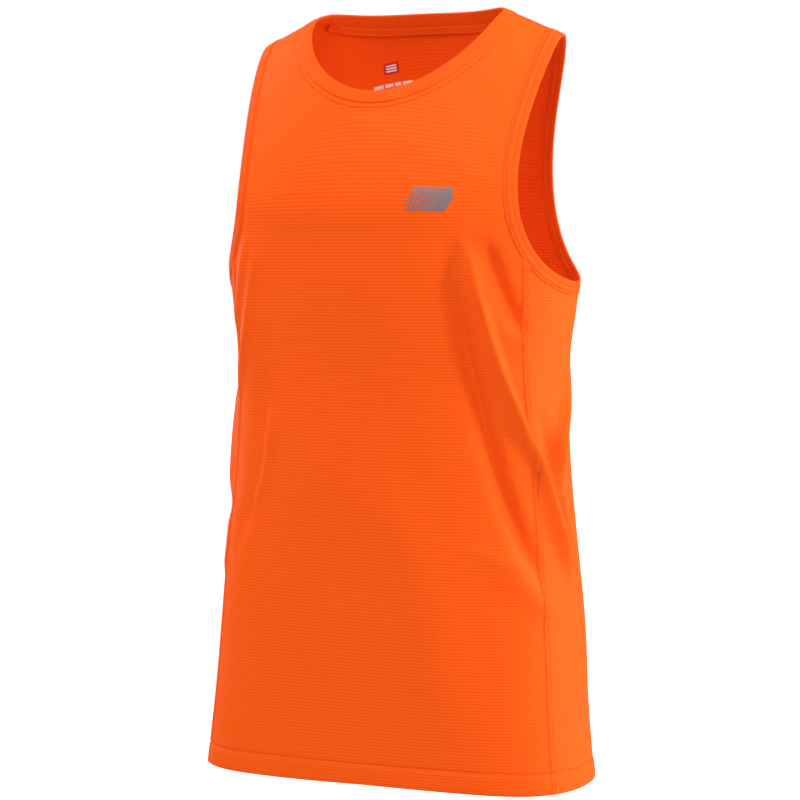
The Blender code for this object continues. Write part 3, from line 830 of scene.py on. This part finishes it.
def cloth_material(name, body):
    """The knit's finish. A body panel's has the laps of the neck and shoulder seams.

    Its colour holds painted shade: a share of the knit's height darkens it between the courses, and
    a share of a soft cloud varies it at random, over a least shade.
    """
    made, nodes, shader = new_finish(name, 0.55, Sheen_Roughness=0.45, **KNIT_SHEEN)
    parts = cloth_map(nodes)
    knit = nodes.add("ShaderNodeGroup", node_tree=KNIT)
    made.node_tree.links.new(parts["X"], knit.inputs["Across"])
    made.node_tree.links.new(parts["Y"], knit.inputs["Up"])
    height = knit.outputs["Height"]
    # Painted shade: the colour is darker between the knit's courses and lighter on its loops.
    shade = nodes.math("MULTIPLY_ADD", height, KNIT_SHADE, LEAST_SHADE)
    painted_shade_and_cloud = nodes.math("MULTIPLY_ADD", noise(nodes, 9.0, 3.0), CLOUD_TONE, shade, clamp=True)
    coloured(made, nodes, shader, painted_shade_and_cloud, KNIT_PAINTED_SHADE_AND_CLOUD_COLOUR, CLOTH_COLOUR)
    bump = nodes.add("ShaderNodeBump", {"Height": height, "Distance": KNIT_DEPTH})
    normal = bump.outputs["Normal"]
    if body:
        normal = seam_bump(nodes, "from_neck", NECK_LAP, NECK_LAP, normal)
        normal = seam_bump(nodes, "from_shoulder", SHOULDER_LAP, 0.0, normal)
    made.node_tree.links.new(normal, shader.inputs["Normal"])
    return made


CLOTH_FINISH = cloth_material("orange_knit", True)
front_panel = body_panel("front_panel", True)
front_panel.data.materials.append(CLOTH_FINISH)

# ---- Back panel ------------------------------------------------------------------------------
# The same knit, cut higher at the neck and deeper at the armholes. It comes over the shoulders
# to join the front a little ahead of the ridge.
back_panel = body_panel("back_panel", False)
back_panel.data.materials.append(CLOTH_FINISH)

# ---- Side panels -----------------------------------------------------------------------------
# Two long panels of the same knit from hem to underarm, joined to front and back by flat seams.
SIDE_COLUMNS = 32


def side_piece(name, left):
    """A side panel, from its back seam round to its front seam, up to the armhole binding."""
    back = at_places(ARM_CUT, evenly(ARM_LINE, ARM_BACK, 0, SIDE_COLUMNS))
    front = at_places(ARM_CUT, evenly(ARM_LINE, 2 * DENSE - 2, ARM_FRONT, SIDE_COLUMNS))
    angles = np.concatenate([-back[0], front[0][1:]])
    tops = np.concatenate([back[1], 2 * RIDGE - front[1][1:]])
    share = (angles - angles[0]) / (angles[-1] - angles[0])
    bottom_angle = side_angle(0.0, False) + share * (side_angle(0.0, True) - side_angle(0.0, False))
    lows = hem_height(bottom_angle)
    rise = np.stack([panel_rows(low, top, SIDE_ROWS) for low, top in zip(lows, tops)], axis=1)
    start, end = side_angle(rise, False), side_angle(rise, True)
    angle = start + (end - start) * share
    if not left:
        angle = mirrored(angle)
    plain = on_cloth(angle, rise)
    points = hemmed(angle, rise, rise - lows, plain, ((True, left), (False, left)))
    lengths = row_lengths(plain)
    across = lengths - lengths[:, lengths.shape[1] // 2, None]
    facing = outward(angle, rise)
    facing[: len(HEM_ROWS)] = 0
    made = grid_piece(name + "_cloth", points, np.stack([across, rise], axis=-1), facing)
    thickened(made)
    made.data.materials.append(SIDE_FINISH)
    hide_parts(name)


SIDE_FINISH = cloth_material("orange_knit_side", False)
side_piece("side_panel_left", True)
side_piece("side_panel_right", False)

# ---- Neck and armhole bindings ---------------------------------------------------------------
# Narrow strips of ribbed knit, folded over the raw edge and sewn down, with the fold free.
BAND_PROUD = 0.0006
BAND_INSIDE = 0.0017
# The band is lighter on its ribs and goes to the second, darker colour in the lines between them, as
# painted shade.
BAND_COLOUR = (0.91, 0.105, 0.0085, 1.0)
BAND_PAINTED_SHADE_COLOUR = (0.74, 0.056, 0.0045, 1.0)
RIB = 0.00175
BAND_SQUARENESS = 0.6
BAND_DEPTH = 0.00022
BAND_POINTS = 9
FOLD_POINTS = 6
NECK_STEPS = 150
ARM_STEPS = 360
ARM_NEEDLES = (0.0052, 0.0098)
BAND_SWELL = 0.0003
NEEDLE_DIP = 0.0005
NEEDLE_WIDTH = 0.0009


def band_profile(width, needles):
    """Width and height of points round a folded band: its face, its free fold, then its back.

    The face swells by a half sine and is drawn in by a bell at each needle line. The fold is a
    half circle.
    """
    radius = (BAND_PROUD + BAND_INSIDE) / 2
    middle = (BAND_PROUD - BAND_INSIDE) / 2
    down = np.linspace(width, radius, BAND_POINTS + 4 * len(needles))
    swell = BAND_SWELL * np.sin(math.pi * (down - radius) / (width - radius))
    for needle in needles:
        swell -= NEEDLE_DIP * np.exp(-(((down - needle) / NEEDLE_WIDTH) ** 2))
    turn = np.linspace(QUARTER, -QUARTER, FOLD_POINTS + 2)[1:-1]
    fold = radius - radius * np.cos(turn)
    wide = np.concatenate([down, fold, down[::-1]])
    high = np.concatenate([middle + radius + swell, middle + radius * np.sin(turn),
                           middle - radius - swell[::-1]])
    return wide, high


def band_piece(name, edge, side, width, where, needles, both=False, left=True):
    """A band carried along an edge: its profile set across the cloth at each place."""
    wide, high = band_profile(width, needles)
    lines = [rolled(*at_places(moved_line(edge, side * share), where)) for share in wide]
    angle = np.stack([line[0] for line in lines], axis=1)
    rise = np.stack([line[1] for line in lines], axis=1)
    if both:
        angle = np.concatenate([angle, mirrored(angle[1:-1][::-1])])
        rise = np.concatenate([rise, rise[1:-1][::-1]])
    elif not left:
        angle = mirrored(angle)
    points = on_cloth(angle, rise, np.broadcast_to(high, angle.shape))
    path = points[:, len(wide) // 2]
    steps = np.linalg.norm(np.diff(path, axis=0, append=path[:1]), axis=-1)
    along = np.concatenate([[0], np.cumsum(steps)])
    uv = np.stack(np.broadcast_arrays(along[:, None], np.append(wide, wide[0])), axis=-1)
    facing = np.zeros_like(points)
    facing[:, : BAND_POINTS - 1] = outward(*under_ridge(angle, rise))[:, : BAND_POINTS - 1]
    made = grid_piece(name + "_knit", points, uv, facing, closed=True)
    made.data.materials.append(BAND_FINISH)
    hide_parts(name)
    return made, float(along[-1])


def band_material():
    """Ribbed knit: fine raised ribs across the band with deeper lines between, and painted shade
    that makes the colour lighter on the ribs and darker in the lines.
    """
    made, nodes, shader = new_finish("ribbed_binding", 0.6, **KNIT_SHEEN)
    rib = nodes.math("DIVIDE", cloth_map(nodes)["X"], RIB)
    round_rib = nodes.math("POWER", nodes.wave(rib), BAND_SQUARENESS)
    coloured(made, nodes, shader, round_rib, BAND_PAINTED_SHADE_COLOUR, BAND_COLOUR)
    bump = nodes.add("ShaderNodeBump", {"Height": round_rib, "Distance": BAND_DEPTH})
    made.node_tree.links.new(bump.outputs["Normal"], shader.inputs["Normal"])
    return made


BAND_FINISH = band_material()
neck_places = evenly(NECK_LINE, 0, DENSE - 1, NECK_STEPS)
arm_places = evenly(ARM_LINE, 0, 2 * DENSE - 2, ARM_STEPS)[:-1]
neck_band, neck_length = band_piece("neck_binding", NECK_LINE, 1, NECK_BAND, neck_places, (),
                                    both=True)
for arm_side in ("left", "right"):
    arm_band, arm_length = band_piece("armhole_binding_" + arm_side, ARM_LINE, -1, ARM_BAND,
                                      arm_places, ARM_NEEDLES, left=arm_side == "left")

# Behind the neck the strip's inner edge goes on further down the inside, and is sewn flat there.
ALLOWANCE = (0.0118, 0.0186)
ALLOWANCE_COLUMNS = 7
ALLOWANCE_STEPS = 110
ALLOWANCE_DEPTH = 0.0011
ALLOWANCE_CLOTH = 0.0007
ALLOWANCE_END = 12
ridge_place = int(np.argmax(NECK_LINE[1]))
back_places = evenly(NECK_LINE, 0, ridge_place - ALLOWANCE_END, ALLOWANCE_STEPS // 2)
strip_widths = np.linspace(*ALLOWANCE, ALLOWANCE_COLUMNS)
strip_lines = [rolled(*at_places(moved_line(NECK_LINE, wide), back_places)) for wide in strip_widths]
strip_angle = np.stack([line[0] for line in strip_lines], axis=1)
strip_rise = np.stack([line[1] for line in strip_lines], axis=1)
strip_angle = np.concatenate([mirrored(strip_angle)[:0:-1], strip_angle])
strip_rise = np.concatenate([strip_rise[:0:-1], strip_rise])
strip_points = on_cloth(strip_angle, strip_rise, np.full(strip_rise.shape, -CLOTH - ALLOWANCE_DEPTH))
strip_steps = np.linalg.norm(np.diff(strip_points[:, 0], axis=0), axis=-1)
strip_along = np.concatenate([[0], np.cumsum(strip_steps)])[:, None]
strip_uv = np.stack(np.broadcast_arrays(strip_along, strip_widths), axis=-1)
neck_strip = grid_piece("neck_binding_inside", strip_points, strip_uv,
                        -outward(*under_ridge(strip_angle, strip_rise)))
thickened(neck_strip)
neck_strip.modifiers["wall"].thickness = ALLOWANCE_CLOTH
neck_strip.data.materials.append(BAND_FINISH)

# ---- Flat side seams -------------------------------------------------------------------------
# Four flat seams lap the panels' edges. Needle threads run along both edges of the lap, and
# cover threads cross it in a ladder.
THREAD_RADIUS = 0.00022
THREAD_RINGS = 5
THREAD_SIDES = 5
SEAM_HALF = 0.0027
LADDER_STEP = 0.0021
THREAD_COLOUR = (1.0, 0.19, 0.022, 1.0)
THREAD_BOW = 0.00015
SEAM_PROUD = 0.0008
NEEDLE_SHARE = 0.8


def thread_material():
    """Polyester thread: smoother and a little lighter than the knit, with a twist in its bump."""
    made, nodes, shader = new_finish("orange_thread", 0.45, Specular_IOR_Level=0.08)
    fibre = noise(nodes, 900.0, 2.0)
    coloured(made, nodes, shader, fibre, CLOTH_COLOUR, THREAD_COLOUR)
    bump = nodes.add("ShaderNodeBump", {"Height": fibre, "Distance": 0.0001})
    made.node_tree.links.new(bump.outputs["Normal"], shader.inputs["Normal"])
    return made


THREAD_FINISH = thread_material()


def threads(name, starts, ends, normals, radius, bow, slot):
    """Short threads, each a tube bowed by a half sine from start to end, joined as one mesh.

    The tube's radius follows a half circle's root at its ends, so that each thread is closed.
    """
    share = np.linspace(0, 1, THREAD_RINGS)
    rise = bow * np.sin(math.pi * share)
    axis = starts[:, None] + (ends - starts)[:, None] * share[:, None]
    axis = axis + normals[:, None] * rise[:, None]
    along = ends - starts
    side = np.cross(along, normals)
    side /= np.maximum(np.linalg.norm(side, axis=-1, keepdims=True), 1e-9)
    turn = np.arange(THREAD_SIDES) * 2 * math.pi / THREAD_SIDES
    thick = radius * np.sqrt(1 - 0.75 * (2 * share - 1) ** 2)
    ring = np.cos(turn)[:, None] * side[:, None] + np.sin(turn)[:, None] * normals[:, None]
    points = axis[:, :, None] + thick[:, None, None] * ring[:, None]
    count = len(starts)
    place = np.arange(count * THREAD_RINGS * THREAD_SIDES).reshape(count, THREAD_RINGS, THREAD_SIDES)
    nearby = np.roll(place, -1, axis=2)
    quads = np.stack([place[:, :-1], nearby[:, :-1], nearby[:, 1:], place[:, 1:]], axis=-1)
    faces = quads.reshape(-1, 4).tolist()
    faces += place[:, 0, ::-1].tolist()
    faces += place[:, -1].tolist()
    mesh = bpy.data.meshes.new(name)
    mesh.from_pydata(points.reshape(-1, 3).tolist(), [], faces)
    mesh.shade_smooth()
    mesh.materials.append(THREAD_FINISH)
    placed(name, mesh)


def even_places(path, step):
    """Fractional indices at even steps along a path of points."""
    length = np.concatenate([[0], np.cumsum(np.linalg.norm(np.diff(path, axis=0), axis=-1))])
    count = int(length[-1] / step)
    return np.interp(np.linspace(0, length[-1], count), length, np.arange(len(length)))


def even_line(angle, rise, step):
    """A line's places at even steps along the cloth."""
    return at_places((angle, rise), even_places(on_cloth(angle, rise), step))


def rungs(near, far, normal):
    """Starts, ends and normals of threads along two needle lines, and slanting between them."""
    lines = [(near, near[1:]), (far, far[1:])]
    starts = np.concatenate([near[:-1], far[:-1]] * 2)
    ends = np.concatenate(
        [line[:-1] + (after - line[:-1]) * NEEDLE_SHARE for line, after in lines]
        + [(far[:-1] + far[1:]) / 2, (near[:-1] + near[1:]) / 2]
    )
    return starts, ends, np.concatenate([normal[:-1]] * 4)


def ladder(angle, rise, offsets, step, height):
    """The threads of a flat seam, on both sides of a line and across it."""
    angle, rise = even_line(angle, rise, step)
    low, high = (offset_line(angle, rise, offset) for offset in offsets)
    normal = outward(*under_ridge(angle, rise))
    near = on_cloth(*low, np.full(len(angle), height))
    far = on_cloth(*high, np.full(len(angle), height))
    return rungs(near, far, normal)


def seam_threads(name, front, left):
    """One side seam's threads, from the hem's fold up to the armhole binding."""
    end = at_places(ARM_CUT, ARM_FRONT if front else ARM_BACK)[1]
    rise = np.linspace(0.0015, (2 * RIDGE - end if front else end) - SEAM_HALF, DENSE)
    angle = side_angle(rise, front)
    if not left:
        angle = mirrored(angle)
    made = ladder(angle, rise, (-SEAM_HALF, SEAM_HALF), LADDER_STEP, SEAM_PROUD)
    threads(name, *made, THREAD_RADIUS, THREAD_BOW, "cloth")


for seam_side in ("left", "right"):
    seam_threads("front_seam_threads_" + seam_side, True, seam_side == "left")
    seam_threads("back_seam_threads_" + seam_side, False, seam_side == "left")

# ---- Hem stitches ----------------------------------------------------------------------------
# One line of needle stitches holds the turn-up, all round.
HEM_STITCH = 0.0024
HEM_SUNK = 0.00045
STITCH_SHARE = 0.78
STITCH_RADIUS = 0.0002


def running_stitches(name, path, normal, share, radius, bow, slot):
    """A line of stitches, each a share of the way to the next."""
    starts = path[:-1]
    threads(name, starts, starts + np.diff(path, axis=0) * share, normal[:-1], radius, bow, slot)


round_angle = np.linspace(-math.pi, math.pi, 8 * DENSE)
hem_line = even_line(round_angle, hem_height(round_angle) + STITCH_HEIGHT, HEM_STITCH)
hem_path = on_cloth(*hem_line, np.full(len(hem_line[0]), -HEM_SUNK))
running_stitches("hem_stitches", hem_path, outward(*hem_line), STITCH_SHARE, STITCH_RADIUS,
                 THREAD_BOW, "cloth")

# ---- Binding stitches ------------------------------------------------------------------------
# Twin needles sew each armhole binding down, with a ladder of cover threads on both its faces.
# A single line of stitches runs just below the neck binding's seam.
ARM_STITCHES = 340
ARM_STITCH_ENDS = (2, 2 * DENSE - 4)
ARM_FACES = (("outer", BAND_PROUD, THREAD_BOW), ("inner", -BAND_INSIDE, -THREAD_BOW))
arm_stitch_places = evenly(ARM_LINE, *ARM_STITCH_ENDS, ARM_STITCHES)
for arm_side in ("left", "right"):
    for face, band_height, bow in ARM_FACES:
        needle_lines = []
        for needle in ARM_NEEDLES:
            line = at_places(moved_line(ARM_LINE, -needle), arm_stitch_places)
            line_angle, line_rise = rolled(*line)
            if arm_side == "right":
                line_angle = mirrored(line_angle)
            lifted = np.full(len(line_angle), band_height)
            needle_lines.append((on_cloth(line_angle, line_rise, lifted),
                                 outward(*under_ridge(line_angle, line_rise))))
        (near, near_normal), (far, _) = needle_lines
        threads(f"armhole_stitches_{face}_{arm_side}", *rungs(near, far, near_normal),
                STITCH_RADIUS, bow, "binding")

NECK_STITCH = 0.0023
NECK_STITCH_LINE = NECK_BAND + 0.0052
NECK_SUNK = 0.00005
INSIDE_STITCH_LINE = 0.0172
INSIDE_SHARE = 0.7
INSIDE_RADIUS = 0.0003
INSIDE_BOW = 0.0002


def neck_stitches(name, line, height, facing, share, radius, bow):
    """A line of stitches along the neck, on each side, moved out by the height."""
    path = on_cloth(*rolled(*line))
    angle, rise = rolled(*at_places(line, even_places(path, NECK_STITCH)))
    for side, side_place in (("left", angle), ("right", mirrored(angle))):
        path = on_cloth(side_place, rise, np.full(len(rise), height))
        normal = facing * outward(side_place, rise)
        running_stitches(name + side, path, normal, share, radius, bow, "binding")


neck_stitches("neck_stitches_", moved_line(NECK_LINE, NECK_STITCH_LINE), -NECK_SUNK, 1,
              STITCH_SHARE, STITCH_RADIUS, THREAD_BOW)
# Behind the neck the strip's inner edge has its own line of stitches, on the inside.
strip_line = moved_line(NECK_LINE, INSIDE_STITCH_LINE)
strip_line = [values[: ridge_place - ALLOWANCE_END] for values in strip_line]
neck_stitches("inside_stitches_", strip_line, -CLOTH - ALLOWANCE_DEPTH, -1,
              INSIDE_SHARE, INSIDE_RADIUS, INSIDE_BOW)

# ---- Chest print -----------------------------------------------------------------------------
# A small grey reflective transfer on the wearer's left chest: a slanted field of dots that
# grow from one side to the other. It is printed on the knit, with hardly any thickness.
PRINT_HEIGHT = 0.00022
DOT_SIDES = 14
DOT_PITCH = 0.0034
CHEST_ANGLE = math.radians(70.9)
CHEST_RISE = 0.4935
CHEST_WIDTH = 0.037
CHEST_HEIGHT = 0.0215
CHEST_SLANT = 0.35
PRINT_COLOUR = (0.17, 0.20, 0.21, 1.0)
PRINT_DARKER = 0.8
DOT_ROWS = 0.87
LEAST_DOT = 0.36
DOT_GROWTH = 0.13


def discs(name, across, up, radius, angle, rise, proud, finish):
    """Flat discs on the cloth, at distances across and up from one place on it."""
    turn = np.arange(DOT_SIDES) * 2 * math.pi / DOT_SIDES
    x = across[:, None] + radius[:, None] * np.append(np.cos(turn), 0)
    y = up[:, None] + radius[:, None] * np.append(np.sin(turn), 0)
    print_mesh(name, x, y, angle, rise, proud, finish)


def cloth_place(x, y, angle, rise):
    """The angle and rise of points at distances x and y from a place, by the form's scale."""
    here = np.array([angle]), np.array([rise])
    round_step = plain_form(here[0] + STEP, here[1]) - plain_form(here[0] - STEP, here[1])
    up_step = plain_form(here[0], here[1] + STEP) - plain_form(here[0], here[1] - STEP)
    return (angle - x * 2 * STEP / np.linalg.norm(round_step),
            rise + y * 2 * STEP / np.linalg.norm(up_step))


def print_mesh(name, x, y, angle, rise, proud, finish):
    """Fans of thin triangles from each row's last point to its other points, moved out by proud."""
    place_angle, place_rise = cloth_place(x, y, angle, rise)
    points = on_cloth(place_angle, place_rise, np.full(x.shape, proud))
    count, corners = x.shape[0], x.shape[1] - 1
    place = np.arange(count * (corners + 1)).reshape(count, corners + 1)
    rim = place[:, :-1]
    fan = np.stack([rim, np.roll(rim, -1, axis=1), np.broadcast_to(place[:, -1:], rim.shape)],
                   axis=-1).reshape(-1, 3)
    first = points.reshape(-1, 3)[fan[0]]
    facing = np.cross(first[1] - first[0], first[2] - first[0])
    wanted = outward(place_angle[:1, 0], place_rise[:1, 0])[0] * np.sign(proud)
    if facing @ wanted < 0:
        fan = fan[:, ::-1]
    mesh = bpy.data.meshes.new(name)
    mesh.from_pydata(points.reshape(-1, 3).tolist(), [], fan.tolist())
    mesh.shade_smooth()
    mesh.materials.append(finish)
    placed(name, mesh)


def print_material(name, colour, roughness, metallic):
    """Printed film: one colour, with a fine grain of the knit below."""
    made, nodes, shader = new_finish(name, roughness, Metallic=metallic)
    dark = [value * PRINT_DARKER for value in colour[:3]] + [1.0]
    coloured(made, nodes, shader, noise(nodes, 700.0, 2.0), dark, colour)
    return made


column, row = np.meshgrid(np.arange(-9, 10), np.arange(-6, 7))
across = (column + 0.5 * (row % 2)) * DOT_PITCH
up = row * DOT_PITCH * DOT_ROWS
leaning = across - CHEST_SLANT * up
inside_field = (np.abs(leaning / (CHEST_WIDTH / 2)) ** 4 + np.abs(up / (CHEST_HEIGHT / 2)) ** 4) < 1
across, up, leaning = across[inside_field], up[inside_field], leaning[inside_field]
dot_radius = DOT_PITCH * (LEAST_DOT + DOT_GROWTH * (leaning / CHEST_WIDTH + 0.5))
CHEST_FINISH = print_material("reflective_print", PRINT_COLOUR, 0.42, 0.25)
discs("chest_print", across, up, dot_radius, CHEST_ANGLE, CHEST_RISE, PRINT_HEIGHT, CHEST_FINISH)

# ---- Inner neck print ------------------------------------------------------------------------
# A care print inside the back, below the neck: a small red panel with thin white lines across
# it, and a row of plain white bars under it.
INNER_ANGLE = -math.radians(104.0)
INNER_RISE = 0.580
PANEL_WIDTH = 0.0140
PANEL_HEIGHT = 0.0098
PANEL_LINE_WIDTH = PANEL_WIDTH * 0.72
BAR_HEIGHT = 0.0030
WORD_WIDTH = 0.0375
WORD_DROP = -0.0150
# Bars of the row under the panel: start and width
WORD_BARS = ((0.0, 0.0095), (0.0110, 0.0060), (0.0185, 0.0080), (0.0280, 0.0095))
RED = (0.62, 0.012, 0.014, 1.0)
WHITE = (0.86, 0.80, 0.76, 1.0)


def bars(name, boxes, finish, height):
    """Rectangles on the inside of the back, each given by its centre, width and height."""
    corner = np.array([(-0.5, -0.5), (0.5, -0.5), (0.5, 0.5), (-0.5, 0.5), (0, 0)])
    middle, size = np.array(boxes)[:, None, :2], np.array(boxes)[:, None, 2:]
    x, y = np.moveaxis(middle + size * corner, -1, 0)
    print_mesh(name, x, y, INNER_ANGLE, INNER_RISE, -CLOTH - height, finish)


RED_FINISH = print_material("red_print", RED, 0.6, 0.0)
WHITE_FINISH = print_material("white_print", WHITE, 0.6, 0.0)
panel_lines = [(0, (row - 1) * PANEL_HEIGHT / 4, PANEL_LINE_WIDTH, BAR_HEIGHT / 2)
               for row in range(3)]
word_bars = [(start + width / 2 - WORD_WIDTH / 2, WORD_DROP, width, BAR_HEIGHT)
             for start, width in WORD_BARS]
bars("inner_print_panel", [(0, 0, PANEL_WIDTH, PANEL_HEIGHT)], RED_FINISH, PRINT_HEIGHT)
bars("inner_print_lines", panel_lines, WHITE_FINISH, 2 * PRINT_HEIGHT)
bars("inner_print_bars", word_bars, WHITE_FINISH, PRINT_HEIGHT)

scene.view_layers[0].update()
